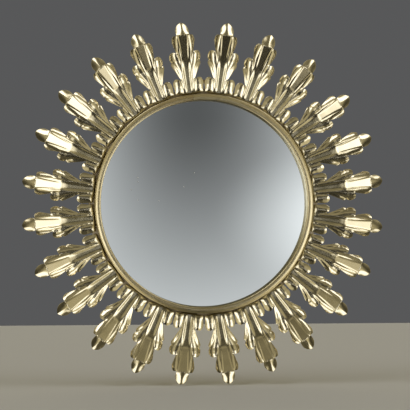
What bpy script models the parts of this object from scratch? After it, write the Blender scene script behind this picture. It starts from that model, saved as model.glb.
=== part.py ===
"""Sunburst wall mirror: round glass, two-bead brass bezel and a ring of stamped acanthus leaves.

The frame: +Z is up, the mirror faces -Y, and the wall is at y = 0.
A leaf is drawn along and across its midrib, and its height above the wall is a function of
both. Sizes are in metres.
"""

import math

import bmesh
import bpy
from mathutils import Matrix, Vector
from mathutils.geometry import delaunay_2d_cdt

MM = 0.001

# Ring of leaves
LEAF_COUNT = 24
LEAF_PITCH_DEG = 360.0 / LEAF_COUNT
LEAF_TIP_R = 300.0 * MM
LEAF_RISE = 20.7 * MM
LEAF_SHEET = 1.0 * MM
# A few leaves stand a little off the true radius, in degrees round their own foot
LEAF_LEAN_DEG = {2: -1.9, 4: 3.2, 5: 2.3, 10: 1.9, 12: -1.4, 16: 2.0, 18: 1.8, 19: -1.2, 20: 1.3}

# Thicknesses, and the clearance between pieces that lie on each other
FIT_GAP = 0.3 * MM
BOARD_T = 5.0 * MM
PLATE_T = 2.0 * MM
GLASS_T = 3.0 * MM

# Bezel moulding: two beads with a groove between them, a lip over the glass and a rebate behind it
RING_INNER_R = 169.8 * MM
RING_WIDTH = 11.6 * MM
RING_OUTER_R = RING_INNER_R + RING_WIDTH
RING_TALL = 20.6 * MM
LIP_WIDTH = 4.7 * MM
LIP_EDGE = 1.5 * MM
REBATE_R = RING_INNER_R + LIP_WIDTH
BEAD_W = 0.22 * RING_WIDTH
INNER_BEAD_R = RING_INNER_R + 0.29 * RING_WIDTH
OUTER_BEAD_R = RING_OUTER_R - 0.2 * RING_WIDTH
GROOVE_DEPTH = 3.4 * MM
BEAD_STEPS = 4
ROUND_STEPS = 40

# Glass, backing plate and board
GLASS_EDGE_GAP = 1.1 * MM
GLASS_R = REBATE_R - GLASS_EDGE_GAP
PLATE_OVERHANG = 8.6 * MM
PLATE_R = RING_OUTER_R + PLATE_OVERHANG
BOARD_INSET = 18.0 * MM
BOARD_R = PLATE_R - BOARD_INSET

# Tab of a leaf, clamped between the bezel and the plate, and the foot of its blade
TAB_END_GAP = 0.7 * MM
TAB_INNER_R = REBATE_R + TAB_END_GAP
TAB_OUTER_R = RING_OUTER_R + 1.0 * MM
FOOT_GAP = 1.9 * MM
FOOT_R = RING_OUTER_R + FOOT_GAP
FOOT_HALF_PITCH = FOOT_R * math.tan(math.radians(0.5 * LEAF_PITCH_DEG))
BLADE_LENGTH = LEAF_TIP_R - FOOT_R
LEAN_PIVOT_R = FOOT_R + 0.015 * BLADE_LENGTH
TAB_ACROSS = 50.0
TAB_BEND_SPACING = 20.0
FOOT_ACROSS = 92.5

# The blade is drawn in percent: along, of its length from foot to tip; across, of half the
# leaves' pitch at the foot; and height, of the rise from the foot to the crease.
# Each lobe has its widest point, its end, and the notch that the outline drops back to
BASE_LOBE = ((13.5, 104.5), (21.6, 80.4), (17.6, 51.4))
WAIST = (19.6, 44.6)
SMALL_LOBE = ((41.3, 102.0), (45.7, 92.8), None)
BIG_LOBE = ((52.0, 107.7), (59.0, 85.0), (56.1, 56.4))
UPPER_LOBE = ((73.4, 78.7), (81.4, 60.5), (80.8, 44.0))
TIP_SIDE = (87.6, 45.6)
TIP_POINT_POWER = 1.35
CREASE = 81.6

# Height of the midrib, with the crease as its top
SPINE = ((-1.0, -1.5), (0.0, 0.0), (2.6, 11.6), (6.9, 22.2), (17.0, 29.0), (30.0, 35.3), (41.0, 41.5),
         (47.0, 47.3), (53.0, 56.0), (64.3, 73.0), (CREASE, 100.0), (90.0, 76.8), (95.0, 59.8), (100.0, 39.0))
# Fall from the midrib to the edge, and the half width that it is measured over
FALL = ((0.0, 0.0), (5.7, 8.0), (17.0, 13.5), (33.0, 22.0), (53.5, 38.5), (67.5, 33.0), (81.0, 29.0),
        (89.5, 31.0), (100.0, 14.0))
BLADE_ACROSS = ((0.0, 92.5), (5.7, 99.5), (17.5, 103.5), (53.5, 107.7), (67.5, 83.0), (81.0, 64.0),
                (88.0, 45.6), (100.0, 33.0))
# Ridges pressed up from the sheet: their line (along, across), height and half width
CHANNEL_LINE = ((2.3, 20.5), (21.5, 21.0), (36.0, 22.5), (50.0, 29.0), (62.0, 39.5), (80.5, 59.5))
CHANNEL_RIDGE = (CHANNEL_LINE, 11.5, 11.5)
LOBE_LINE = ((11.0, 32.0), (28.5, 37.0), (43.0, 50.0), (50.0, 62.0), (58.0, 84.5))
LOBE_RIDGE = (LOBE_LINE, 9.5, 12.5)
BASE_LINE = ((2.3, 71.0), (12.0, 76.0), (20.0, 77.0))
BASE_RIDGE = (BASE_LINE, 16.5, 23.0)
RIDGE_POINT_SPACING = 17.0
MIDRIB_POINTS = (0.0, 6.9, 17.0, 30.0, 43.0, 53.0, 67.0, CREASE, 91.0)

# Hanging eye, its hole above the edge of the plate
EYE_HOLE_R = 4.6 * MM
EYE_RIM = 5.9 * MM
EYE_OUTER_R = EYE_HOLE_R + EYE_RIM
EYE_REACH = 4.5 * MM
EYE_Z = PLATE_R + EYE_REACH
EYE_FOOT_Z = BOARD_R + 4.0 * MM
EYE_T = 2.0 * MM
EYE_STEPS = 24


def interpolate(table, x):
    """Value at x on the straight lines between a table's points, held flat past its ends."""
    if x <= table[0][0]:
        return table[0][1]
    for (x0, y0), (x1, y1) in zip(table, table[1:]):
        if x <= x1:
            return y0 + (y1 - y0) * (x - x0) / (x1 - x0)
    return table[-1][1]


def leaf_height(along, across):
    """Height of a leaf's front over its foot, in percent of the rise, at a point of the blade."""
    across = abs(across)
    height = interpolate(SPINE, along)
    height -= interpolate(FALL, along) * (across / interpolate(BLADE_ACROSS, along)) ** 2
    for path, rise, half_width in (CHANNEL_RIDGE, LOBE_RIDGE, BASE_RIDGE):
        if path[0][0] <= along <= path[-1][0]:
            away = (across - interpolate(path, along)) / half_width
            height += rise * math.exp(-away * away)
    return height


def quarter(start, end, steps, power=1.0):
    """Points of a quarter ellipse from the widest point to the end, without the first one."""
    points = []
    for step in range(1, steps + 1):
        angle = 0.5 * math.pi * step / steps
        along = start[0] + (end[0] - start[0]) * math.sin(angle)
        across = end[1] + (start[1] - end[1]) * math.cos(angle) ** power
        points.append((along, across))
    return points


def lobe_edge(lobe):
    """Edge of a lobe: its widest point, round to its end and back to its notch."""
    widest, end, notch = lobe
    points = [widest]
    points += quarter(widest, end, 2)
    if notch is not None:
        points += list(reversed(quarter(notch, end, 2)[:-1]))
        points.append(notch)
    return points


def leaf_outline():
    """Outline of the leaf in percent (along, across), up its right side and down its left."""
    right = [
        (100.0 * (TAB_INNER_R - FOOT_R) / BLADE_LENGTH, TAB_ACROSS),
        (100.0 * (TAB_OUTER_R - FOOT_R) / BLADE_LENGTH, TAB_ACROSS),
        (0.0, FOOT_ACROSS),
    ]
    right += lobe_edge(BASE_LOBE)
    right.append(WAIST)
    right += lobe_edge(SMALL_LOBE)
    right += lobe_edge(BIG_LOBE)
    right += lobe_edge(UPPER_LOBE)
    right.append(TIP_SIDE)
    right += quarter(TIP_SIDE, (100.0, 0.0), 3, TIP_POINT_POWER)
    left = [(along, -across) for along, across in reversed(right[:-1])]
    return right + left


def leaf_inner_points():
    """Points inside the outline, on the midrib and on the ridges."""
    bend = 100.0 * (TAB_OUTER_R - FOOT_R) / BLADE_LENGTH
    points = [(bend, TAB_BEND_SPACING * step) for step in (-1.0, 0.0, 1.0)]
    points += [(along, 0.0) for along in MIDRIB_POINTS]
    for path, _rise, _half_width in (CHANNEL_RIDGE, LOBE_RIDGE, BASE_RIDGE):
        first = path[0][0]
        last = path[-1][0] - 2.5
        splits = max(1, round((last - first) / RIDGE_POINT_SPACING))
        for step in range(splits + 1):
            along = first + (last - first) * step / splits
            across = interpolate(path, along)
            points.append((along, across))
            points.append((along, -across))
    return points


def leaf_mesh(foot_height):
    """Closed sheet of one leaf, upright along +Z with its front towards -Y."""
    outline = leaf_outline()
    inner = leaf_inner_points()
    plane = [Vector((across, along)) for along, across in outline + inner]
    count = len(outline)
    bend = [count - 2, count, count + 1, count + 2, 1]
    midrib = [count + 3 + step for step in range(len(MIDRIB_POINTS))]
    crease = count + 3 + MIDRIB_POINTS.index(CREASE)
    notch = outline.index(UPPER_LOBE[2])
    lines = list(zip(bend, bend[1:])) + list(zip(midrib, midrib[1:]))
    lines += [(notch, crease), (crease, count - 1 - notch)]
    lines += [(index, (index + 1) % count) for index in range(count)]
    flat, _edges, faces, _, _, _ = delaunay_2d_cdt(plane, lines, [list(range(count))], 1, 1e-6)
    shape = bmesh.new()
    front = []
    back = []
    for point in flat:
        height = foot_height + 0.01 * LEAF_RISE * leaf_height(point.y, point.x)
        x = 0.01 * FOOT_HALF_PITCH * point.x
        z = FOOT_R + 0.01 * BLADE_LENGTH * point.y
        front.append(shape.verts.new((x, -height, z)))
        back.append(shape.verts.new((x, LEAF_SHEET - height, z)))
    edge_use = {}
    for face in faces:
        corners = list(face)
        shape.faces.new([front[index] for index in corners])
        shape.faces.new([back[index] for index in reversed(corners)])
        for a, b in zip(corners, corners[1:] + corners[:1]):
            edge_use[(a, b)] = True
    for a, b in edge_use:
        if (b, a) not in edge_use:
            shape.faces.new((front[b], front[a], back[a], back[b]))
    bmesh.ops.recalc_face_normals(shape, faces=shape.faces)
    bmesh.ops.triangulate(shape, faces=shape.faces)
    mesh = bpy.data.meshes.new("leaf")
    shape.to_mesh(mesh)
    shape.free()
    mesh.shade_smooth()
    mesh.set_sharp_from_angle(angle=math.radians(40.0))
    return mesh


def material(name, colour, roughness, metallic):
    """Principled material with one colour."""
    made = bpy.data.materials.new(name)
    made.use_nodes = True
    shader = made.node_tree.nodes["Principled BSDF"]
    shader.inputs["Base Color"].default_value = (*colour, 1.0)
    shader.inputs["Roughness"].default_value = roughness
    shader.inputs["Metallic"].default_value = metallic
    return made


def add_object(name, mesh, look, parent):
    """Object in the scene under the mirror's empty."""
    piece = bpy.data.objects.new(name, mesh)
    if not mesh.materials:
        mesh.materials.append(look)
    bpy.context.scene.collection.objects.link(piece)
    piece.parent = parent
    return piece


def turned_mesh(name, profile):
    """Solid turned about the mirror's axis from a closed profile of (radius, height)."""
    shape = bmesh.new()
    rings = []
    for step in range(ROUND_STEPS):
        angle = 2.0 * math.pi * step / ROUND_STEPS
        ring = []
        for radius, height in profile:
            ring.append(shape.verts.new((radius * math.sin(angle), -height, radius * math.cos(angle))))
        rings.append(ring)
    count = len(profile)
    for step in range(ROUND_STEPS):
        here = rings[step]
        there = rings[(step + 1) % ROUND_STEPS]
        for index in range(count):
            after = (index + 1) % count
            shape.faces.new((here[index], here[after], there[after], there[index]))
    bmesh.ops.recalc_face_normals(shape, faces=shape.faces)
    mesh = bpy.data.meshes.new(name)
    shape.to_mesh(mesh)
    shape.free()
    mesh.shade_smooth()
    mesh.set_sharp_from_angle(angle=math.radians(40.0))
    return mesh


def disc_mesh(name, radius, low, high):
    """Flat round plate between two heights above the wall."""
    shape = bmesh.new()
    turn = Matrix.Rotation(math.radians(90.0), 4, "X")
    move = Matrix.Translation((0.0, -0.5 * (low + high), 0.0))
    bmesh.ops.create_cone(
        shape,
        cap_ends=True,
        segments=ROUND_STEPS,
        radius1=radius,
        radius2=radius,
        depth=high - low,
        matrix=move @ turn,
    )
    bmesh.ops.recalc_face_normals(shape, faces=shape.faces)
    mesh = bpy.data.meshes.new(name)
    shape.to_mesh(mesh)
    shape.free()
    mesh.shade_smooth()
    mesh.set_sharp_from_angle(angle=math.radians(40.0))
    return mesh


def bezel_profile(lip, seat):
    """Profile of the bezel from the height of its lip and its seat: two beads, side and rebate."""
    front = lip + RING_TALL - FIT_GAP - LIP_EDGE
    bead_top = front - BEAD_W
    groove_r = 0.5 * (INNER_BEAD_R + OUTER_BEAD_R)
    profile = [(RING_INNER_R, lip), (RING_INNER_R, lip + LIP_EDGE)]
    for centre, steps in ((INNER_BEAD_R, range(BEAD_STEPS)), (OUTER_BEAD_R, range(1, BEAD_STEPS + 1))):
        if centre == OUTER_BEAD_R:
            profile.append((groove_r, front - GROOVE_DEPTH))
        for step in steps:
            angle = math.pi * (1.0 - step / BEAD_STEPS)
            profile.append((centre + BEAD_W * math.cos(angle), bead_top + BEAD_W * math.sin(angle)))
    profile.append((RING_OUTER_R, seat))
    profile.append((REBATE_R, seat))
    profile.append((REBATE_R, lip))
    return profile


def eye_mesh(low, high):
    """Flat hanging plate with a round hole, its foot running down the backing plate."""
    shape = bmesh.new()
    loops = []
    for height in (low, high):
        inner = []
        outer = []
        for step in range(EYE_STEPS):
            angle = 2.0 * math.pi * step / EYE_STEPS
            across = math.cos(angle)
            along = math.sin(angle)
            reach = EYE_OUTER_R
            if along < -1e-6:
                reach = min(EYE_OUTER_R / max(abs(across), 1e-6), (EYE_Z - EYE_FOOT_Z) / abs(along))
            inner.append(shape.verts.new((EYE_HOLE_R * across, -height, EYE_Z + EYE_HOLE_R * along)))
            outer.append(shape.verts.new((reach * across, -height, EYE_Z + reach * along)))
        loops.append((inner, outer))
    (low_in, low_out), (high_in, high_out) = loops
    for step in range(EYE_STEPS):
        after = (step + 1) % EYE_STEPS
        shape.faces.new((low_in[step], low_in[after], low_out[after], low_out[step]))
        shape.faces.new((high_out[step], high_out[after], high_in[after], high_in[step]))
        shape.faces.new((low_out[step], low_out[after], high_out[after], high_out[step]))
        shape.faces.new((high_in[step], high_in[after], low_in[after], low_in[step]))
    bmesh.ops.recalc_face_normals(shape, faces=shape.faces)
    mesh = bpy.data.meshes.new("hanger")
    shape.to_mesh(mesh)
    shape.free()
    return mesh


def build():
    """Build the whole mirror under one empty."""
    for old in list(bpy.data.objects):
        bpy.data.objects.remove(old)
    empty = bpy.data.objects.new("mirror", None)
    bpy.context.scene.collection.objects.link(empty)

    brass_leaf = material("leaf_brass", (0.80, 0.62, 0.30), 0.28, 1.0)
    brass_ring = material("ring_brass", (0.78, 0.56, 0.24), 0.25, 1.0)
    silvered = material("mirror_glass", (0.82, 0.83, 0.83), 0.02, 1.0)
    plate_steel = material("plate_steel", (0.42, 0.36, 0.26), 0.5, 1.0)
    board_fibre = material("board_fibre", (0.16, 0.11, 0.07), 0.85, 0.0)
    eye_brass = material("eye_brass", (0.55, 0.42, 0.20), 0.45, 1.0)

    plate_low = BOARD_T + FIT_GAP
    plate_high = plate_low + PLATE_T
    glass_low = plate_high + FIT_GAP
    glass_high = glass_low + GLASS_T
    tab_high = plate_high + FIT_GAP + LEAF_SHEET
    foot_height = tab_high - 0.01 * LEAF_RISE * SPINE[0][1]

    add_object("back_board", disc_mesh("back_board", BOARD_R, 0.0, BOARD_T), board_fibre, empty)
    plate = disc_mesh("backing_plate", PLATE_R, plate_low, plate_high)
    add_object("backing_plate", plate, plate_steel, empty)
    add_object("mirror_glass", disc_mesh("mirror_glass", GLASS_R, glass_low, glass_high), silvered, empty)
    bezel = turned_mesh("bezel_ring", bezel_profile(glass_high + FIT_GAP, tab_high + FIT_GAP))
    add_object("bezel_ring", bezel, brass_ring, empty)
    eye = eye_mesh(plate_low - FIT_GAP - EYE_T, plate_low - FIT_GAP)
    add_object("hanger", eye, eye_brass, empty)

    leaf = leaf_mesh(foot_height)
    pivot = Matrix.Translation((0.0, 0.0, LEAN_PIVOT_R))
    for number in range(1, LEAF_COUNT + 1):
        turn = math.radians((number - 0.5) * LEAF_PITCH_DEG)
        lean = math.radians(LEAF_LEAN_DEG.get(number, 0.0))
        piece = add_object(f"leaf_{number:02d}", leaf, brass_leaf, empty)
        about = pivot @ Matrix.Rotation(lean, 4, "Y") @ pivot.inverted()
        piece.matrix_local = Matrix.Rotation(turn, 4, "Y") @ about


build()
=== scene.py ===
"""Sunburst wall mirror dressed for rendering: stamped brass leaves, bezel, glass and back."""

import math

import bpy
import numpy as np
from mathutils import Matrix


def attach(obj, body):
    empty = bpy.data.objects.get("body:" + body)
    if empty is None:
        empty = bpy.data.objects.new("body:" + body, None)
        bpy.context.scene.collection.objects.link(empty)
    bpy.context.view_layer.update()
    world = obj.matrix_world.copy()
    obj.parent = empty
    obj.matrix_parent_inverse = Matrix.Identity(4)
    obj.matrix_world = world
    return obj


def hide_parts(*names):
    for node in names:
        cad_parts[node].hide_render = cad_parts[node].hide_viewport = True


bl_info = {
    "name": "Sunburst Wall Mirror",
    "version": (1, 0, 0),
    "blender": (4, 5, 0),
    "location": "View3D > Sidebar > Mirror",
    "description": "Builds a round wall mirror with a brass bezel and a ring of acanthus leaves",
    "category": "Object",
}

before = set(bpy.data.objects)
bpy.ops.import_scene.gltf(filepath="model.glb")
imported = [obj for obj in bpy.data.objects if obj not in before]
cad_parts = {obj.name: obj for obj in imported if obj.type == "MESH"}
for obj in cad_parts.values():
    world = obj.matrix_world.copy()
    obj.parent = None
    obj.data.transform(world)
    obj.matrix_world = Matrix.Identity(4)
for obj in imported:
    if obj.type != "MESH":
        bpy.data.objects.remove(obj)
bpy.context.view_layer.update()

MM = 0.001

# Leaf, drawn in millimetres from its foot: "a" runs outward along the midrib, "t" across it
FOOT_R = 183.3
LEAF_COUNT = 24
PIVOT_A = 1.7
LEAF_LEAN_DEG = {2: -1.9, 4: 3.2, 5: 2.3, 10: 1.9, 12: -1.4, 16: 2.0, 18: 1.8, 19: -1.2, 20: 1.3}
TAB_HEIGHT = 8.9
CREASE_A = 95.2
CREASE_HEIGHT = 20.7
TIP_A = 116.7
SHEET = 1.0
LEAF_SHARP_DEG = 70.0

# Height of the midrib over the tab, before and after the crease. The steep rise at the foot begins
# inside the bezel's outer side, so the leaf passes into the bezel there by about a millimetre
BLADE_SPINE = (
    (-9.0, -0.3), (-3.6, -0.3), (-2.6, 2.2), (-0.6, 4.0), (2.4, 4.9), (4.5, 5.3), (8.0, 5.7),
    (14.0, 6.3), (20.0, 6.9), (35.0, 8.2), (50.0, 9.4), (54.0, 9.9), (56.5, 10.5), (66.0, 12.9),
    (75.0, 15.3), (86.0, 18.2), (CREASE_A, CREASE_HEIGHT),
)
TIP_SPINE = (
    (CREASE_A, CREASE_HEIGHT), (100.0, 18.5), (105.0, 15.9), (110.0, 12.9), (113.5, 10.5), (TIP_A, 8.1),
)
# Drop from the midrib to the edge, the flat half width that it starts from, and the half width
# that it is reached at
FALL = (
    (-9.0, 0.0), (0.7, 0.2), (6.7, 1.6), (19.7, 2.8), (38.7, 4.6), (62.7, 8.0), (78.7, 6.8),
    (94.7, 5.4), (104.7, 5.0), (TIP_A, 2.6),
)
FALL_POWER = 1.6
FLAT_HALF_WIDTH = (
    (-9.0, 3.6), (6.0, 3.8), (30.0, 4.2), (50.0, 4.4), (57.0, 4.4), (75.0, 5.6), (CREASE_A, 7.2),
)
HALF_WIDTH = (
    (-9.0, 22.0), (6.7, 24.0), (20.7, 25.0), (62.7, 26.0), (78.7, 20.0), (94.7, 15.5),
    (102.7, 11.0), (TIP_A, 8.0),
)

# Lines pressed into the sheet, on the right half: points (a, t, height, half width)
CREST_LINES = (
    (
        (10.0, 7.0, 0.2, 2.2), (25.0, 7.8, 0.4, 2.4), (42.0, 8.6, 0.6, 2.6), (56.0, 9.6, 0.7, 2.8),
        (70.0, 11.6, 0.8, 3.0), (80.0, 13.2, 0.8, 3.2), (89.0, 14.2, 0.6, 3.2),
    ),
    (
        (30.0, 9.4, 0.1, 2.8), (36.0, 11.4, 0.4, 3.6), (44.0, 13.8, 1.0, 4.6), (52.0, 16.6, 1.7, 5.4),
        (58.0, 18.8, 2.1, 5.8), (63.0, 20.2, 2.0, 5.6), (67.5, 20.8, 1.2, 5.0),
    ),
    ((28.0, 12.6, 0.1, 2.6), (36.0, 17.0, 0.5, 3.2), (42.0, 19.8, 0.7, 3.6), (48.0, 22.2, 0.5, 3.4)),
    ((0.0, 16.8, 0.8, 6.0), (6.0, 17.4, 1.5, 6.4), (13.0, 18.0, 1.7, 6.4), (19.0, 18.2, 1.2, 6.0)),
)
GROOVE_LINES = (
    ((65.8, 13.3, -0.8, 1.8), (60.0, 11.5, -0.6, 1.8), (50.0, 9.9, -0.35, 1.7), (38.0, 8.8, -0.1, 1.6)),
    ((53.4, 23.4, -0.6, 1.8), (49.0, 18.8, -0.55, 1.8), (42.0, 15.0, -0.35, 1.7), (34.0, 12.2, -0.1, 1.6)),
    ((21.5, 11.4, -0.7, 1.8), (14.0, 10.2, -0.6, 1.9), (6.0, 9.2, -0.4, 1.9), (0.0, 8.4, -0.1, 1.8)),
    (
        (94.6, 9.3, -0.5, 1.3), (88.0, 8.4, -0.45, 1.3), (80.0, 7.5, -0.4, 1.3), (66.0, 6.3, -0.3, 1.3),
        (56.0, 5.5, -0.1, 1.3),
    ),
)
# The pressed lines fade out over this distance before and after the crease
LINES_FADE = 0.4
CHANNEL_DEPTH = (
    (0.0, 0.0), (6.0, 0.9), (25.0, 1.3), (42.0, 1.1), (52.0, 0.3), (58.0, 0.0), (CREASE_A, 0.0),
)
CHANNEL_HALF_WIDTH = ((0.0, 4.8), (25.0, 5.4), (45.0, 6.0), (55.0, 6.2), (CREASE_A, 8.0))
EDGE_CURL = 0.25
EDGE_CURL_WIDTH = 1.6
# The relief starts at the bezel's outer side and has its full height after RELIEF_RISE
RELIEF_START_A = -2.9
RELIEF_RISE = 3.0
# Depth and height at which the material's hollows (painted shade, with some stain) and crests (painted
# highlight) are full, and the hollow value of the back, which paints shade on it
HOLLOW_FULL = 1.8
CREST_FULL = 2.2
BACK_HOLLOW = 0.5

# Outline: each stretch is its end point (a, t), the midrib point that its last row starts from,
# the bend of that row, the number of rows, and its kind: a line, a quarter ellipse that sets out
# along "a" (side) or along "t" (end), or the pointed tip
OUTLINE_START = (-8.1, 12.0, -8.1, 0.5)
OUTLINE = (
    (-0.9, 12.0, -0.9, 0.5, 6, "line"),
    (0.0, 22.3, 0.0, 0.5, 3, "line"),
    (15.7, 25.3, 2.2, 0.9, 16, "line"),
    (25.2, 19.4, 5.4, 0.92, 18, "side"),
    (20.8, 12.4, 9.0, 0.9, 12, "end"),
    (22.8, 10.9, 12.5, 0.75, 6, "line"),
    (48.2, 24.6, 32.0, 0.5, 28, "line"),
    (53.3, 22.4, 38.4, 0.5, 12, "side"),
    (60.7, 26.0, 45.5, 0.5, 14, "end"),
    (68.9, 20.5, 55.0, 0.5, 18, "side"),
    (65.5, 13.6, 58.2, 0.5, 12, "end"),
    (85.7, 19.0, 75.0, 0.5, 24, "line"),
    (95.0, 14.6, 85.5, 0.5, 16, "side"),
    (94.3, 10.6, 91.0, 0.5, 8, "end"),
    (CREASE_A, 10.4, CREASE_A, 0.5, 3, "line"),
    (102.2, 11.0, 102.2, 0.5, 10, "line"),
    (TIP_A, 0.0, TIP_A, 0.5, 28, "tip"),
)
TIP_POINT_POWER = 1.35
TIP_LAST_STEP = 0.985
# Columns of the sheet's front from the midrib to one edge, and of its back from edge to edge
COLUMNS = 36
BACK_COLUMNS = 5

# Small spots where the silver has failed: (x, z) in millimetres
SPECKS = (
    (-109.0, 43.0), (-109.0, 36.0), (-120.0, 23.0), (-33.0, 28.0), (-109.0, 6.0), (-74.0, 5.0),
    (-16.0, 51.0),
)
SPECK_R = 0.9

# Bezel, in millimetres: radius and height above the wall
RING_INNER_R = 169.8
RING_REBATE_R = 174.5
RING_OUTER_R = 180.4
RING_SEAT = 8.9
RING_LIP = 10.9
RING_LIP_EDGE = 0.8
RING_WALL_LEAN = 0.1
RING_WALL_TOP = 18.0
RING_SIDE_TOP = 23.5
RING_BACK_EDGE = (0.3, 0.5)
RING_FRONT = 29.7
INNER_BEAD = (171.3, 1.2)
INNER_BEAD_TOP = 28.0
CROWN_R = 173.9
CROWN_BEND = 12.5
CROWN_SPAN_DEG = (-14.0, 25.0)
OUTER_EDGE = 1.1
OUTER_EDGE_START_DEG = 13.0
SEAM_DEG = -6.2
SEAM_GAP_DEG = 0.05
RING_STEPS = 541
RING_SHARP_DEG = 50.0
# Where the bezel's colour is darkened as painted shade: the groove between bead and crown, and the inner
# corner
GROOVE_R = 172.0
GROOVE_HALF_WIDTH = 0.5
GROOVE_FLOOR = 24.0
CORNER_HALF_WIDTH = 2.0

# Round pieces: profiles (radius, height) from the middle of the front to the middle of the back
GLASS_FRONT = 10.6
GLASS_PROFILE = (
    (0.0, GLASS_FRONT), (60.0, GLASS_FRONT), (120.0, GLASS_FRONT), (172.6, GLASS_FRONT), (173.4, 10.1),
    (173.4, 7.9), (173.0, 7.6), (100.0, 7.6), (0.0, 7.6),
)
PLATE_PROFILE = (
    (0.0, 7.3), (150.0, 7.3), (188.8, 7.3), (189.9, 6.9), (189.9, 5.7), (188.8, 5.3), (150.0, 5.3),
    (0.0, 5.3),
)
BOARD_PROFILE = (
    (0.0, 5.0), (100.0, 5.0), (171.4, 5.0), (171.9, 4.6), (171.9, 0.4), (171.4, 0.0), (100.0, 0.0),
    (0.0, 0.0),
)
DISC_STEPS = 240
DISC_SHARP_DEG = 30.0


def smooth_table(table, x):
    """Smooth curve through a table's points: cubic pieces whose slopes are the neighbours' mean."""
    xs = np.array([point[0] for point in table])
    ys = np.array([point[1] for point in table])
    steps = np.diff(ys) / np.diff(xs)
    slopes = np.empty_like(ys)
    slopes[0] = steps[0]
    slopes[-1] = steps[-1]
    slopes[1:-1] = 0.5 * (steps[:-1] + steps[1:])
    slopes[1:-1][steps[:-1] * steps[1:] <= 0.0] = 0.0
    x = np.clip(x, xs[0], xs[-1])
    index = np.clip(np.searchsorted(xs, x) - 1, 0, len(xs) - 2)
    width = xs[index + 1] - xs[index]
    s = (x - xs[index]) / width
    low = (1 + 2 * s) * (1 - s) ** 2 * ys[index] + s * (1 - s) ** 2 * width * slopes[index]
    high = s * s * (3 - 2 * s) * ys[index + 1] + s * s * (s - 1) * width * slopes[index + 1]
    return low + high


def pressed_line(line, a, t):
    """Height of one pressed line: its own height times a bell of the distance to the line."""
    points = np.array(line)
    best = np.full(a.shape, 1.0e9)
    height = np.zeros(a.shape)
    width = np.ones(a.shape)
    for start, end in zip(points[:-1], points[1:]):
        run = end[:2] - start[:2]
        s = np.clip(((a - start[0]) * run[0] + (t - start[1]) * run[1]) / (run @ run), 0.0, 1.0)
        away = np.hypot(a - start[0] - s * run[0], t - start[1] - s * run[1])
        nearer = away < best
        best = np.where(nearer, away, best)
        height = np.where(nearer, start[2] + s * (end[2] - start[2]), height)
        width = np.where(nearer, start[3] + s * (end[3] - start[3]), width)
    return height * np.exp(-((best / width) ** 2))


def leaf_relief(a, t, edge):
    """Height over the tab and the pressed relief alone.

    Height = midrib curve - fall * s^FALL_POWER - channel - curl at the edge + pressed lines, where s
    runs from 0 at the flat half width to 1 at the half width. Past the crease s = t / half width,
    and there is no channel. The channel is a bell of t to the fourth power, the curl falls off
    exponentially from the edge, and the pressed lines end at the crease.
    """
    t = np.abs(t)
    blade = a <= CREASE_A
    height = np.where(blade, smooth_table(BLADE_SPINE, a), smooth_table(TIP_SPINE, a))
    flat = np.where(blade, smooth_table(FLAT_HALF_WIDTH, a), 0.0)
    across = np.clip(t - flat, 0.0, None) / (smooth_table(HALF_WIDTH, a) - flat)
    height = height - smooth_table(FALL, a) * across ** FALL_POWER
    channel_width = smooth_table(CHANNEL_HALF_WIDTH, a)
    channel = np.where(blade, smooth_table(CHANNEL_DEPTH, a), 0.0)
    relief = -channel * np.exp(-((t / channel_width) ** 4))
    fade = np.clip((CREASE_A + LINES_FADE - a) / (2.0 * LINES_FADE), 0.0, 1.0)
    for line in CREST_LINES + GROOVE_LINES:
        relief = relief + fade * pressed_line(line, a, t)
    lift = np.clip((a - RELIEF_START_A) / RELIEF_RISE, 0.0, 1.0)
    relief = relief * lift - EDGE_CURL * lift * np.exp(-edge / EDGE_CURL_WIDTH)
    return height + relief, relief


def outline_rows():
    """Rows of the leaf: edge point (a, t), midrib point and bend of every row, tab to tip."""
    rows = [OUTLINE_START]
    for end_a, end_t, foot, bend, count, kind in OUTLINE:
        start_a, start_t, start_foot, start_bend = rows[-1]
        for step in range(1, count + 1):
            s = step / count
            if kind == "line":
                a = start_a + s * (end_a - start_a)
                t = start_t + s * (end_t - start_t)
            elif kind == "side":
                a = start_a + (end_a - start_a) * math.sin(0.5 * math.pi * s)
                t = end_t + (start_t - end_t) * math.cos(0.5 * math.pi * s)
            elif kind == "end":
                a = end_a + (start_a - end_a) * math.cos(0.5 * math.pi * s)
                t = start_t + (end_t - start_t) * math.sin(0.5 * math.pi * s)
            else:
                s = min(s, TIP_LAST_STEP)
                a = start_a + (end_a - start_a) * math.sin(0.5 * math.pi * s)
                t = end_t + (start_t - end_t) * math.cos(0.5 * math.pi * s) ** TIP_POINT_POWER
            middle = a if kind == "tip" else start_foot + s * (foot - start_foot)
            rows.append((a, t, middle, start_bend + s * (bend - start_bend)))
    return np.array(rows)


def leaf_plan(columns):
    """Plan (a, t) and distance to the edge of a grid of rows by columns, both halves.

    Each row runs from the midrib to the edge along a quadratic curve whose middle point lies
    "bend" of the way out, so that rows never cross in the notches.
    """
    rows = outline_rows()
    u = np.linspace(0.0, 1.0, columns + 1)[None, :]
    edge_a, edge_t, middle, bend = [rows[:, index][:, None] for index in range(4)]
    control_a = middle + (edge_a - middle) * np.where(bend > 0.5, 1.0 - bend, 0.5)
    control_t = edge_t * bend
    a = (1 - u) ** 2 * middle + 2 * u * (1 - u) * control_a + u * u * edge_a
    t = 2 * u * (1 - u) * control_t + u * u * edge_t
    a = np.hstack([a[:, :0:-1], a])
    t = np.hstack([-t[:, :0:-1], t])
    outline = rows[:, :2]
    points = np.stack([a.ravel(), np.abs(t).ravel()], axis=1)
    away = np.full(len(points), 1.0e9)
    for start, end in zip(outline[:-1], outline[1:]):
        run = end - start
        s = np.clip((points - start) @ run / (run @ run), 0.0, 1.0)
        away = np.minimum(away, np.hypot(*(points - start - s[:, None] * run).T))
    return a, t, away.reshape(a.shape)


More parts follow.
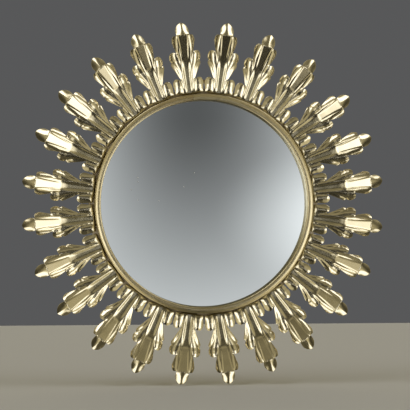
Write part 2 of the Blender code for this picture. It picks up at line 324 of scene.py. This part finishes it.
def grid_faces(rows, columns, start, flip):
    """Quads of a grid whose vertices lie row after row from a start index."""
    index = start + np.arange(rows * columns).reshape(rows, columns)
    quads = np.stack([index[:-1, :-1], index[:-1, 1:], index[1:, 1:], index[1:, :-1]], axis=-1)
    quads = quads.reshape(-1, 4)
    return quads[:, ::-1] if flip else quads


def make_mesh(name, vertices, faces, attributes, sharp_deg):
    """Mesh with smooth faces, edges sharp above an angle, and a number per vertex by name."""
    mesh = bpy.data.meshes.new(name)
    mesh.from_pydata(vertices.tolist(), [], [list(map(int, face)) for face in faces])
    for label, values in attributes.items():
        layer = mesh.attributes.new(label, "FLOAT", "POINT")
        layer.data.foreach_set("value", np.asarray(values, dtype=np.float32).ravel())
    mesh.shade_smooth()
    mesh.set_sharp_from_angle(angle=math.radians(sharp_deg))
    mesh.validate()
    return mesh


def add_piece(name, mesh, material, node):
    """Object for a CAD node: it rides on the root body and takes the node's place."""
    mesh.materials.append(material)
    piece = bpy.data.objects.new(name, mesh)
    bpy.context.scene.collection.objects.link(piece)
    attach(piece, "root")
    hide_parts(node)
    return piece


def leaf_template():
    """Vertices (t, height, r), faces and attributes of one upright leaf, in millimetres."""
    a, t, edge = leaf_plan(COLUMNS)
    height, relief = leaf_relief(a, t, edge)
    rows, columns = a.shape
    picks = np.linspace(0, 2 * COLUMNS, BACK_COLUMNS).astype(int)
    front = np.stack([t, TAB_HEIGHT + height, FOOT_R + a], axis=-1).reshape(-1, 3)
    back = np.stack([t, TAB_HEIGHT + height - SHEET, FOOT_R + a], axis=-1)[:, picks].reshape(-1, 3)
    base = rows * columns
    faces = [grid_faces(rows, columns, 0, False), grid_faces(rows, BACK_COLUMNS, base, True)]
    front_index = np.arange(base).reshape(rows, columns)
    back_index = base + np.arange(rows * BACK_COLUMNS).reshape(rows, BACK_COLUMNS)
    for column, flip in ((0, False), (-1, True)):
        near = front_index[:, column]
        far = back_index[:, column]
        wall = np.stack([near[:-1], near[1:], far[1:], far[:-1]], axis=-1)
        faces.append(wall[:, ::-1] if flip else wall)
    quads = np.concatenate(faces).tolist()
    quads.append(front_index[0, ::-1].tolist() + back_index[0].tolist())
    quads.append(front_index[-1].tolist() + back_index[-1, ::-1].tolist())
    # hollow and crest drive the material's painted shade and painted highlight; the back gets part of the
    # painted shade
    hollow = np.clip(-relief / HOLLOW_FULL, 0.0, 1.0).ravel()
    crest = np.clip(relief / CREST_FULL, 0.0, 1.0).ravel()
    pad = np.zeros(len(back))
    attributes = {
        "hollow": np.concatenate([hollow, pad + BACK_HOLLOW]),
        "crest": np.concatenate([crest, pad]),
        "along": np.concatenate([a.ravel(), a[:, picks].ravel()]) / TIP_A,
    }
    return np.concatenate([front, back]), quads, attributes


def place_leaf(points, number):
    """A leaf's points turned to its place on the ring, in metres."""
    lean = math.radians(LEAF_LEAN_DEG.get(number, 0.0))
    turn = math.radians((number - 0.5) * 360.0 / LEAF_COUNT)
    pivot = FOOT_R + PIVOT_A
    x = points[:, 0] * math.cos(lean) + (points[:, 2] - pivot) * math.sin(lean)
    z = pivot + (points[:, 2] - pivot) * math.cos(lean) - points[:, 0] * math.sin(lean)
    across = x * math.cos(turn) + z * math.sin(turn)
    up = z * math.cos(turn) - x * math.sin(turn)
    return np.stack([across, -points[:, 1], up], axis=1) * MM


def turned(profile, name):
    """Solid turned about the mirror's axis from (radius, height) points, closed on the axis."""
    profile = np.array(profile)
    steps, count = DISC_STEPS, len(profile) - 2
    angles = np.linspace(0.0, 2.0 * math.pi, steps, endpoint=False)[:, None]
    radius = profile[1:-1, 0][None, :]
    height = np.broadcast_to(profile[1:-1, 1][None, :], (steps, count))
    body = np.stack([radius * np.sin(angles), -height, radius * np.cos(angles)], axis=-1)
    index = np.arange(steps * count).reshape(steps, count)
    after = np.roll(index, -1, axis=0)
    quads = np.stack([index[:, :-1], index[:, 1:], after[:, 1:], after[:, :-1]], axis=-1)
    faces = quads.reshape(-1, 4).tolist()
    faces += [[steps * count, here, there] for here, there in zip(index[:, 0], after[:, 0])]
    faces += [[steps * count + 1, there, here] for here, there in zip(index[:, -1], after[:, -1])]
    poles = np.array([[0.0, -profile[0, 1], 0.0], [0.0, -profile[-1, 1], 0.0]])
    vertices = np.concatenate([body.reshape(-1, 3), poles]) * MM
    return make_mesh(name, vertices, faces, {}, DISC_SHARP_DEG)


def bezel_profile():
    """Closed profile (radius, height) of the bezel: lip, wall, bead, broad crown, side, rebate."""

    def arc(centre, top, bend, first, last, steps):
        angles = np.radians(np.linspace(first, last, steps))
        return [(centre + bend * math.sin(x), top - bend + bend * math.cos(x)) for x in angles]

    bead_r, bead_w = INNER_BEAD
    points = [(RING_INNER_R, RING_LIP), (RING_INNER_R, RING_LIP + RING_LIP_EDGE)]
    points += [(RING_INNER_R + RING_WALL_LEAN, RING_WALL_TOP)]
    points += arc(bead_r, INNER_BEAD_TOP, bead_w, -90.0, 62.0, 11)
    points += arc(CROWN_R, RING_FRONT, CROWN_BEND, CROWN_SPAN_DEG[0], CROWN_SPAN_DEG[1], 15)
    edge_r, edge_top = points[-1]
    tilt = math.radians(CROWN_SPAN_DEG[1])
    edge_r -= OUTER_EDGE * math.sin(tilt)
    edge_top += OUTER_EDGE * (1.0 - math.cos(tilt))
    points += arc(edge_r, edge_top, OUTER_EDGE, CROWN_SPAN_DEG[1] + OUTER_EDGE_START_DEG, 90.0, 6)
    points += [(RING_OUTER_R, RING_SIDE_TOP), (RING_OUTER_R, RING_SEAT + RING_BACK_EDGE[1])]
    points += [(RING_OUTER_R - RING_BACK_EDGE[0], RING_SEAT), (RING_REBATE_R, RING_SEAT)]
    points += [(RING_REBATE_R, RING_LIP)]
    return np.array(points)


def bezel_mesh():
    """The bezel swept from one side of its butt seam round to the other, with both ends capped."""
    profile = bezel_profile()
    angles = np.radians(SEAM_DEG + np.linspace(SEAM_GAP_DEG, 360.0 - SEAM_GAP_DEG, RING_STEPS))
    tone = np.linspace(0.0, 1.0, len(angles))
    radius = profile[:, 0][None, :]
    height = np.broadcast_to(profile[:, 1][None, :], (len(angles), len(profile)))
    around = angles[:, None]
    points = np.stack([radius * np.sin(around), -height, radius * np.cos(around)], axis=-1)
    count = len(profile)
    index = np.arange(len(angles) * count).reshape(len(angles), count)
    ring = np.roll(index, -1, axis=1)
    quads = np.stack([index[:-1], ring[:-1], ring[1:], index[1:]], axis=-1).reshape(-1, 4)
    faces = quads.tolist()
    faces.append(index[0, ::-1].tolist())
    faces.append(index[-1].tolist())
    steps = np.hypot(*np.diff(profile, axis=0, append=profile[:1]).T)
    length = np.concatenate([[0.0], np.cumsum(steps)[:-1]])
    # Mask of the bezel's painted shade: the groove and the inner corner
    groove = np.exp(-((profile[:, 0] - GROOVE_R) / GROOVE_HALF_WIDTH) ** 2)
    groove = groove * (profile[:, 1] > GROOVE_FLOOR)
    corner = np.exp(-((profile[:, 1] - RING_LIP) / CORNER_HALF_WIDTH) ** 2)
    attributes = {
        "around": np.broadcast_to(tone[:, None], (len(angles), count)),
        "across": np.broadcast_to(length[None, :], (len(angles), count)),
        "hollow": np.broadcast_to(np.clip(groove + corner, 0, 1)[None, :], (len(angles), count)),
    }
    return make_mesh("bezel_ring", points.reshape(-1, 3) * MM, faces, attributes, RING_SHARP_DEG)


# Light by direction: "turn" is the angle from the mirror's axis and "rise" the elevation, in
# degrees, and "up" and "side" are the direction's own parts. Base light at the middle and far off
# to the sides, what is added far above and below, and the light behind the mirror
BASE_TURN, BASE_TURN_SPAN, BASE_LIGHT = 3.0, (12.0, 60.0), (0.022, 0.055)
BASE_RISE, BASE_RISE_SPAN, BASE_RISE_LIGHT = -8.0, (15.0, 42.0), 0.10
BEHIND_LIGHT = 0.42
# Soft panels: left, right, bottom and top edge, each with half the width of its soft border, and
# the brightness
PANELS = (
    ((-36.0, 4.0), (-13.0, 3.0), (-20.0, 5.0), (6.0, 6.0), 1.9),
    ((-64.0, 10.0), (-13.0, 3.0), (-46.0, 6.0), (-18.0, 6.0), 0.58),
    ((-64.0, 10.0), (-13.0, 3.0), (-18.0, 6.0), (32.0, 8.0), 0.38),
    ((18.0, 3.0), (44.0, 4.0), (-20.0, 5.0), (6.0, 6.0), 1.9),
    ((18.0, 3.0), (72.0, 10.0), (-46.0, 6.0), (-18.0, 6.0), 0.58),
    ((18.0, 3.0), (72.0, 10.0), (-18.0, 6.0), (32.0, 8.0), 0.38),
    ((-16.0, 4.0), (22.0, 4.0), (19.0, 6.0), (46.0, 6.0), 0.26),
    ((-90.0, 6.0), (-41.0, 6.0), (38.0, 4.0), (72.0, 5.0), 2.0),
    ((49.0, 6.0), (95.0, 6.0), (38.0, 4.0), (72.0, 5.0), 2.0),
    ((-90.0, 6.0), (-46.0, 6.0), (-72.0, 5.0), (-38.0, 4.0), 1.7),
    ((54.0, 6.0), (95.0, 6.0), (-72.0, 5.0), (-38.0, 4.0), 1.7),
)
# Pale card straight ahead, which the glass reflects: its middle, half width, soft edges and soft spot
CARD_SIDE = 0.080
CARD_HALF_WIDTH = 0.075
CARD_SIDE_EDGE = (0.092, 0.078)
CARD_UP_EDGE = (0.086, 0.074)
CARD_AHEAD = (-0.8, -0.9)
SPOT_SIDE, SPOT_UP = 0.165, -0.010
SPOT_HALF_WIDTH, SPOT_HALF_HEIGHT = 0.075, 0.055
# Even backdrop that the camera sees, and the light's warm and neutral colours
BACKDROP_LIGHT = 0.10
WARM = (1.0, 0.91, 0.61, 1.0)
NEUTRAL = (0.97, 0.98, 1.0, 1.0)

# Camera: the photograph's width, the size of one of its pixels at the mirror, and the point
# that the camera looks at
PHOTO_PX = 410.0
METRES_PER_PX = 0.001646
CAMERA_AIM = (0.0012, -0.017, -0.0021)
SENSOR_WIDTH = 36.0
FLOOR_CORNERS = ((-4.0, -1.0), (4.0, -1.0), (4.0, 1.2), (-4.0, 1.2))
FLOOR_COLOUR = (0.62, 0.61, 0.59, 1.0)
FLOOR_ROUGHNESS = 0.7


class Nodes:
    """Short way to build a material's or world's node tree."""

    def __init__(self, tree):
        self.tree = tree

    def add(self, kind, inputs=None, **settings):
        """A node with its settings, and its inputs as values or as sockets to link."""
        node = self.tree.nodes.new(kind)
        for label, value in settings.items():
            setattr(node, label, value)
        for label, value in (inputs or {}).items():
            if isinstance(value, bpy.types.NodeSocket):
                self.tree.links.new(value, node.inputs[label])
            else:
                node.inputs[label].default_value = value
        return node

    def math(self, operation, first, second=0.0, clamp=False):
        """Result of a Math node."""
        inputs = {0: first, 1: second}
        return self.add("ShaderNodeMath", inputs, operation=operation, use_clamp=clamp).outputs[0]

    def mix(self, factor, first, second):
        """Colour mixed from two by a factor."""
        node = self.add("ShaderNodeMix", data_type="RGBA")
        for label, value in (("Factor_Float", factor), ("A_Color", first), ("B_Color", second)):
            socket = next(item for item in node.inputs if item.identifier == label)
            if isinstance(value, bpy.types.NodeSocket):
                self.tree.links.new(value, socket)
            else:
                socket.default_value = value
        return next(item for item in node.outputs if item.identifier == "Result_Color")

    def value_mix(self, factor, first, second):
        """Value mixed from two by a factor."""
        inputs = {"Factor": factor, "A": first, "B": second}
        return self.add("ShaderNodeMix", inputs, data_type="FLOAT").outputs["Result"]

    def ramp(self, factor, low, high, low_value=0.0, high_value=1.0):
        """Value mapped from one range to another, held at its ends."""
        inputs = {"Value": factor, "From Min": low, "From Max": high}
        inputs |= {"To Min": low_value, "To Max": high_value}
        return self.add("ShaderNodeMapRange", inputs).outputs["Result"]

    def noise(self, vector, scale, detail=3.0, roughness=0.5):
        """Noise between 0 and 1."""
        inputs = {"Vector": vector, "Scale": scale, "Detail": detail, "Roughness": roughness}
        return self.add("ShaderNodeTexNoise", inputs).outputs["Fac"]

    def attribute(self, name):
        """A vertex number by name."""
        return self.add("ShaderNodeAttribute", attribute_name=name).outputs["Fac"]

    def bump(self, height, strength, distance):
        """Normal from a height."""
        inputs = {"Height": height, "Strength": strength, "Distance": distance}
        return self.add("ShaderNodeBump", inputs).outputs["Normal"]


def new_material(name, metallic):
    """Empty Principled material, its shader and the helper for its nodes."""
    made = bpy.data.materials.new(name)
    made.use_nodes = True
    shader = made.node_tree.nodes["Principled BSDF"]
    shader.inputs["Metallic"].default_value = metallic
    return made, shader, Nodes(made.node_tree)


def leaf_brass(settings):
    """Pale gilt brass: darker in the hollows (painted shade, with some stain) and at the foot (painted
    shade), duller in the hollows, lighter on the crests (painted highlight).
    """
    made, shader, nodes = new_material("leaf_brass", 1.0)
    place = nodes.add("ShaderNodeTexCoord").outputs["Object"]
    hollow = nodes.attribute("hollow")
    crest = nodes.attribute("crest")
    patches = nodes.ramp(nodes.noise(place, 42.0, 4.0, 0.6), 0.35, 0.7)
    grain = nodes.noise(place, 900.0, 3.0, 0.6)
    colour, shade = (*settings.leaf_colour, 1.0), (*settings.leaf_shade, 1.0)
    tint = nodes.mix(nodes.math("MULTIPLY", patches, 0.5), colour, shade)
    # Painted shade, with some stain: the hollows darken towards olive, by the relief's depth
    hollow_shade_and_stain = nodes.math("MULTIPLY", hollow, nodes.ramp(patches, 0.0, 1.0, 0.6, 1.1))
    tint = nodes.mix(nodes.ramp(hollow_shade_and_stain, 0.1, 0.9, 0.0, 0.75), tint, (0.30, 0.27, 0.15, 1.0))
    # Painted highlight: the crests are lightened towards pale brass
    tint = nodes.mix(nodes.math("MULTIPLY", crest, 0.35), tint, (0.93, 0.86, 0.66, 1.0))
    # Painted shade at the foot, where the leaf passes under the bezel: the colour darkens to near black
    foot = nodes.ramp(nodes.attribute("along"), 0.035, -0.005, 0.0, 0.85)
    tint = nodes.mix(foot, tint, (0.16, 0.145, 0.085, 1.0))
    nodes.tree.links.new(tint, shader.inputs["Base Color"])
    rough = nodes.math("ADD", nodes.math("MULTIPLY", hollow, 0.6), nodes.math("MULTIPLY", grain, 0.5))
    nodes.tree.links.new(nodes.ramp(rough, 0.0, 1.1, 0.14, 0.30), shader.inputs["Roughness"])
    skin = nodes.math("ADD", nodes.math("MULTIPLY", grain, 0.005), nodes.noise(place, 90.0, 1.0, 0.4))
    nodes.tree.links.new(nodes.bump(skin, 0.04, 0.0006), shader.inputs["Normal"])
    return made


def ring_brass(settings):
    """Drawn brass: fine streaks along the moulding, a change of tone over the seam, painted shade in the
    groove and the inner corner.
    """
    made, shader, nodes = new_material("ring_brass", 1.0)
    around = nodes.attribute("around")
    across = nodes.attribute("across")
    hollow = nodes.attribute("hollow")
    place = nodes.add("ShaderNodeTexCoord").outputs["Object"]
    spread = nodes.add("ShaderNodeCombineXYZ", {"X": nodes.math("MULTIPLY", around, 14.0), "Y": across})
    streaks = nodes.noise(spread.outputs[0], 3.2, 4.0, 0.6)
    patches = nodes.noise(place, 26.0, 4.0, 0.6)
    colour, shade = (*settings.ring_colour, 1.0), (*settings.ring_shade, 1.0)
    tint = nodes.mix(nodes.ramp(patches, 0.35, 0.7), colour, shade)
    tint = nodes.mix(nodes.ramp(around, 0.92, 1.0, 0.0, 0.35), tint, (0.62, 0.42, 0.16, 1.0))
    # Painted shade in the groove and the inner corner
    tint = nodes.mix(nodes.ramp(hollow, 0.1, 1.0, 0.0, 0.3), tint, (0.40, 0.33, 0.20, 1.0))
    nodes.tree.links.new(tint, shader.inputs["Base Color"])
    rough = nodes.ramp(streaks, 0.3, 0.75, 0.24, 0.34)
    nodes.tree.links.new(rough, shader.inputs["Roughness"])
    nodes.tree.links.new(nodes.bump(streaks, 0.06, 0.0003), shader.inputs["Normal"])
    return made


def silvered_glass(settings):
    """Silvered glass: a clear bright back coat with a few specks where the silver has failed."""
    made, shader, nodes = new_material("mirror_glass", 1.0)
    place = nodes.add("ShaderNodeTexCoord").outputs["Object"]
    ragged = nodes.ramp(nodes.noise(place, 700.0, 2.0, 0.6), 0.3, 0.7, -0.4, 0.4)
    speck = 0.0
    for x, z in SPECKS:
        centre = (x * MM, -GLASS_FRONT * MM, z * MM)
        gap = nodes.add("ShaderNodeVectorMath", {0: place, 1: centre}, operation="DISTANCE")
        near = nodes.math("ADD", nodes.math("DIVIDE", gap.outputs["Value"], SPECK_R * MM), ragged)
        speck = nodes.math("MAXIMUM", speck, nodes.ramp(near, 1.2, 0.7))
    cloud = nodes.ramp(nodes.noise(place, 7.0, 4.0, 0.55), 0.35, 0.75, 0.0, 0.10)
    tint = nodes.mix(cloud, (*settings.glass_colour, 1.0), (0.62, 0.68, 0.66, 1.0))
    tint = nodes.mix(nodes.math("MULTIPLY", speck, 0.8), tint, (0.95, 0.95, 0.93, 1.0))
    nodes.tree.links.new(tint, shader.inputs["Base Color"])
    haze = nodes.ramp(nodes.noise(place, 14.0, 3.0, 0.5), 0.4, 0.7, 0.012, 0.03)
    rough = nodes.math("ADD", haze, nodes.math("MULTIPLY", speck, 0.4))
    nodes.tree.links.new(rough, shader.inputs["Roughness"])
    return made


def board_fibre():
    """Dark brown hardboard: short fibres and faint mottling."""
    made, shader, nodes = new_material("board_fibre", 0.0)
    place = nodes.add("ShaderNodeTexCoord").outputs["Object"]
    fibres = nodes.noise(place, 520.0, 5.0, 0.7)
    mottle = nodes.noise(place, 18.0, 4.0, 0.6)
    tint = nodes.mix(nodes.ramp(fibres, 0.3, 0.7), (0.13, 0.082, 0.048, 1.0), (0.25, 0.165, 0.10, 1.0))
    tint = nodes.mix(nodes.ramp(mottle, 0.4, 0.75, 0.0, 0.5), tint, (0.085, 0.055, 0.035, 1.0))
    nodes.tree.links.new(tint, shader.inputs["Base Color"])
    nodes.tree.links.new(nodes.ramp(fibres, 0.2, 0.8, 0.7, 0.92), shader.inputs["Roughness"])
    nodes.tree.links.new(nodes.bump(fibres, 0.5, 0.0004), shader.inputs["Normal"])
    return made


def dull_metal(name, light, dark, scale):
    """Dull plated sheet metal: cloudy plating with rubbed and stained patches."""
    made, shader, nodes = new_material(name, 1.0)
    place = nodes.add("ShaderNodeTexCoord").outputs["Object"]
    clouds = nodes.noise(place, scale, 5.0, 0.6)
    grain = nodes.noise(place, 700.0, 3.0, 0.6)
    tint = nodes.mix(nodes.ramp(clouds, 0.35, 0.7), light, dark)
    nodes.tree.links.new(tint, shader.inputs["Base Color"])
    rough = nodes.math("ADD", clouds, nodes.math("MULTIPLY", grain, 0.3))
    nodes.tree.links.new(nodes.ramp(rough, 0.4, 1.0, 0.34, 0.62), shader.inputs["Roughness"])
    nodes.tree.links.new(nodes.bump(grain, 0.2, 0.0003), shader.inputs["Normal"])
    return made


def studio_light(nodes, sky):
    """Studio by direction: dim base light, soft panels and a pale card for the glass.

    A panel's brightness is the product of four soft edges. The card's is a core that grows
    downward, mixed to a rim by the square of the distance from its middle, with a soft spot.
    The colour goes from warm to neutral as the light grows. The camera sees an even backdrop.
    """
    ray = nodes.add("ShaderNodeTexCoord").outputs["Generated"]
    parts = nodes.add("ShaderNodeSeparateXYZ", {"Vector": ray})
    side, ahead, up = parts.outputs["X"], parts.outputs["Y"], parts.outputs["Z"]
    turn = nodes.math("DEGREES", nodes.math("ARCTAN2", side, nodes.math("MULTIPLY", ahead, -1.0)))
    rise = nodes.math("DEGREES", nodes.math("ARCSINE", up))

    off = nodes.math("ABSOLUTE", nodes.math("SUBTRACT", turn, BASE_TURN))
    front = nodes.ramp(off, *BASE_TURN_SPAN, *BASE_LIGHT)
    off = nodes.math("ABSOLUTE", nodes.math("SUBTRACT", rise, BASE_RISE))
    front = nodes.math("ADD", front, nodes.ramp(off, *BASE_RISE_SPAN, 0.0, BASE_RISE_LIGHT))
    light = nodes.value_mix(nodes.ramp(ahead, 0.0, 0.6), front, BEHIND_LIGHT)
    light = nodes.math("MULTIPLY", light, nodes.ramp(up, -0.9, 0.6, 0.6, 1.1))
    for left, right, bottom, top, power in PANELS:
        panel = 1.0
        edges = ((turn, left, 1), (turn, right, -1), (rise, bottom, 1), (rise, top, -1))
        for value, (edge, soft), way in edges:
            inside = nodes.ramp(value, edge - way * soft, edge + way * soft)
            panel = nodes.math("MULTIPLY", panel, inside)
        light = nodes.math("MAXIMUM", light, nodes.math("MULTIPLY", panel, power))

    middle = nodes.math("ABSOLUTE", nodes.math("SUBTRACT", side, CARD_SIDE))
    spread = nodes.math("POWER", nodes.math("DIVIDE", middle, CARD_HALF_WIDTH), 2.0, True)
    core = nodes.math("POWER", nodes.ramp(up, 0.06, -0.075), 1.5)
    core = nodes.math("ADD", nodes.math("MULTIPLY", core, 0.58), 0.12)
    rim = nodes.ramp(up, -0.07, 0.07, 0.80, 0.60)
    across = nodes.math("DIVIDE", nodes.math("SUBTRACT", side, SPOT_SIDE), SPOT_HALF_WIDTH)
    along = nodes.math("DIVIDE", nodes.math("SUBTRACT", up, SPOT_UP), SPOT_HALF_HEIGHT)
    spot = nodes.math("ADD", nodes.math("POWER", across, 2.0), nodes.math("POWER", along, 2.0))
    spot = nodes.math("POWER", nodes.ramp(spot, 1.0, 0.0), 2.0)
    rim = nodes.math("ADD", rim, nodes.math("MULTIPLY", spot, 0.35))
    core = nodes.math("ADD", core, nodes.math("MULTIPLY", spot, 0.30))
    level = nodes.ramp(nodes.math("ABSOLUTE", up), *CARD_UP_EDGE)
    card = nodes.math("MULTIPLY", nodes.ramp(middle, *CARD_SIDE_EDGE), level)
    card = nodes.math("MULTIPLY", card, nodes.ramp(ahead, *CARD_AHEAD))
    light = nodes.value_mix(card, light, nodes.value_mix(spread, core, rim))

    seen = nodes.add("ShaderNodeLightPath").outputs["Is Camera Ray"]
    nodes.tree.links.new(nodes.value_mix(seen, light, BACKDROP_LIGHT), sky.inputs["Strength"])
    plain = nodes.math("MAXIMUM", nodes.math("MAXIMUM", seen, card), nodes.ramp(light, 0.5, 1.7))
    nodes.tree.links.new(nodes.mix(plain, WARM, NEUTRAL), sky.inputs["Color"])


def colour_setting(name, description, default):
    """A colour for the sidebar."""
    return bpy.props.FloatVectorProperty(
        name=name, description=description, default=default, min=0.0, max=1.0, subtype="COLOR",
    )


class MIRROR_PG_finish(bpy.types.PropertyGroup):
    """Colours of the mirror's pieces."""

    leaf_colour: colour_setting("Leaf brass", "Colour of the leaves' brass", (0.89, 0.80, 0.58))
    leaf_shade: colour_setting("Leaf patches", "Colour of the leaves' duller patches", (0.83, 0.73, 0.48))
    ring_colour: colour_setting("Bezel brass", "Colour of the bezel's brass", (0.87, 0.76, 0.49))
    ring_shade: colour_setting("Bezel patches", "Colour of the bezel's duller patches", (0.81, 0.68, 0.40))
    glass_colour: colour_setting("Glass", "Tint of the silvered glass", (0.78, 0.82, 0.81))


class MIRROR_PG_stage(bpy.types.PropertyGroup):
    """Floor, lights and camera."""

    floor_z: bpy.props.FloatProperty(
        name="Floor", description="Height of the floor", default=-0.2985,
        subtype="DISTANCE", unit="LENGTH",
    )
    azimuth: bpy.props.FloatProperty(
        name="Camera azimuth", description="Side the camera looks from", default=math.radians(-5.0),
        subtype="ANGLE", unit="ROTATION",
    )
    distance: bpy.props.FloatProperty(
        name="Camera distance", description="Distance from the camera to the mirror", default=2.4,
        subtype="DISTANCE", unit="LENGTH",
    )


class MIRROR_OT_leaves(bpy.types.Operator):
    """Build the ring of acanthus leaves"""

    bl_idname = "mirror.leaves"
    bl_label = "Leaves"

    def execute(self, context):
        points, faces, attributes = leaf_template()
        brass = leaf_brass(context.scene.mirror_finish)
        for number in range(1, LEAF_COUNT + 1):
            node = f"leaf_{number:02d}"
            mesh = make_mesh(f"{node}_mesh", place_leaf(points, number), faces, attributes, LEAF_SHARP_DEG)
            add_piece(f"acanthus_{node}", mesh, brass, node)
        return {"FINISHED"}


class MIRROR_OT_bezel(bpy.types.Operator):
    """Build the brass bezel with its crown and inner bead"""

    bl_idname = "mirror.bezel"
    bl_label = "Bezel"

    def execute(self, context):
        brass = ring_brass(context.scene.mirror_finish)
        add_piece("bezel", bezel_mesh(), brass, "bezel_ring")
        return {"FINISHED"}


class MIRROR_OT_glass(bpy.types.Operator):
    """Build the round silvered glass"""

    bl_idname = "mirror.glass"
    bl_label = "Glass"

    def execute(self, context):
        silver = silvered_glass(context.scene.mirror_finish)
        mesh = turned(GLASS_PROFILE, "round_glass")
        add_piece("round_glass", mesh, silver, "mirror_glass")
        return {"FINISHED"}


class MIRROR_OT_back(bpy.types.Operator):
    """Build the backing plate, the board and the finish of the hanging eye"""

    bl_idname = "mirror.back"
    bl_label = "Back"

    def execute(self, context):
        steel = dull_metal("plate_steel", (0.46, 0.39, 0.27, 1.0), (0.25, 0.20, 0.13, 1.0), 16.0)
        mesh = turned(PLATE_PROFILE, "round_plate")
        add_piece("round_plate", mesh, steel, "backing_plate")
        mesh = turned(BOARD_PROFILE, "round_board")
        add_piece("round_board", mesh, board_fibre(), "back_board")
        eye = dull_metal("eye_brass", (0.60, 0.46, 0.22, 1.0), (0.34, 0.25, 0.12, 1.0), 60.0)
        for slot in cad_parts["hanger"].material_slots:
            slot.material = eye
        return {"FINISHED"}


class MIRROR_OT_stage(bpy.types.Operator):
    """Set the floor, the lights, the world and the camera"""

    bl_idname = "mirror.stage"
    bl_label = "Stage"

    def execute(self, context):
        stage = context.scene.mirror_stage
        floor_mesh = bpy.data.meshes.new("floor")
        corners = [(x, y, stage.floor_z) for x, y in FLOOR_CORNERS]
        floor_mesh.from_pydata(corners, [], [(0, 1, 2, 3)])
        pale, shader, _ = new_material("floor_pale", 0.0)
        shader.inputs["Base Color"].default_value = FLOOR_COLOUR
        shader.inputs["Roughness"].default_value = FLOOR_ROUGHNESS
        shader.inputs["Specular IOR Level"].default_value = 0.0
        floor_mesh.materials.append(pale)
        floor = bpy.data.objects.new("floor", floor_mesh)
        context.scene.collection.objects.link(floor)
        floor.visible_glossy = False

        world = bpy.data.worlds.new("studio")
        world.use_nodes = True
        studio_light(Nodes(world.node_tree), world.node_tree.nodes["Background"])
        context.scene.world = world
        context.scene.view_settings.view_transform = "Standard"

        aim_x, aim_y, aim_z = CAMERA_AIM
        away = stage.distance
        camera = bpy.data.cameras.new("camera")
        camera.sensor_width = SENSOR_WIDTH
        camera.lens = SENSOR_WIDTH * away / (PHOTO_PX * METRES_PER_PX)
        camera.dof.use_dof = False
        holder = bpy.data.objects.new("camera", camera)
        side, back = away * math.sin(stage.azimuth), away * math.cos(stage.azimuth)
        holder.location = (aim_x + side, aim_y - back, aim_z)
        holder.rotation_euler = (math.radians(90.0), 0.0, stage.azimuth)
        context.scene.collection.objects.link(holder)
        context.scene.camera = holder
        return {"FINISHED"}


class MIRROR_PT_panel(bpy.types.Panel):
    """Mirror's pieces in the sidebar"""

    bl_label = "Sunburst mirror"
    bl_idname = "MIRROR_PT_panel"
    bl_space_type = "VIEW_3D"
    bl_region_type = "UI"
    bl_category = "Mirror"

    def draw(self, context):
        column = self.layout.column()
        for label in ("leaf_colour", "leaf_shade", "ring_colour", "ring_shade", "glass_colour"):
            column.prop(context.scene.mirror_finish, label)
        for label in ("floor_z", "azimuth", "distance"):
            column.prop(context.scene.mirror_stage, label)
        for operator in OPERATORS:
            column.operator(operator.bl_idname)


OPERATORS = (MIRROR_OT_leaves, MIRROR_OT_bezel, MIRROR_OT_glass, MIRROR_OT_back, MIRROR_OT_stage)
CLASSES = (MIRROR_PG_finish, MIRROR_PG_stage, *OPERATORS, MIRROR_PT_panel)


def register():
    """Add the classes and the scene's settings."""
    for item in CLASSES:
        bpy.utils.register_class(item)
    bpy.types.Scene.mirror_finish = bpy.props.PointerProperty(type=MIRROR_PG_finish)
    bpy.types.Scene.mirror_stage = bpy.props.PointerProperty(type=MIRROR_PG_stage)


def unregister():
    """Remove the settings and the classes."""
    del bpy.types.Scene.mirror_stage
    del bpy.types.Scene.mirror_finish
    for item in reversed(CLASSES):
        bpy.utils.unregister_class(item)


def main():
    """Build every piece and the stage."""
    register()
    bpy.ops.mirror.leaves()
    bpy.ops.mirror.bezel()
    bpy.ops.mirror.glass()
    bpy.ops.mirror.back()
    bpy.ops.mirror.stage()


if __name__ == "__main__":
    main()
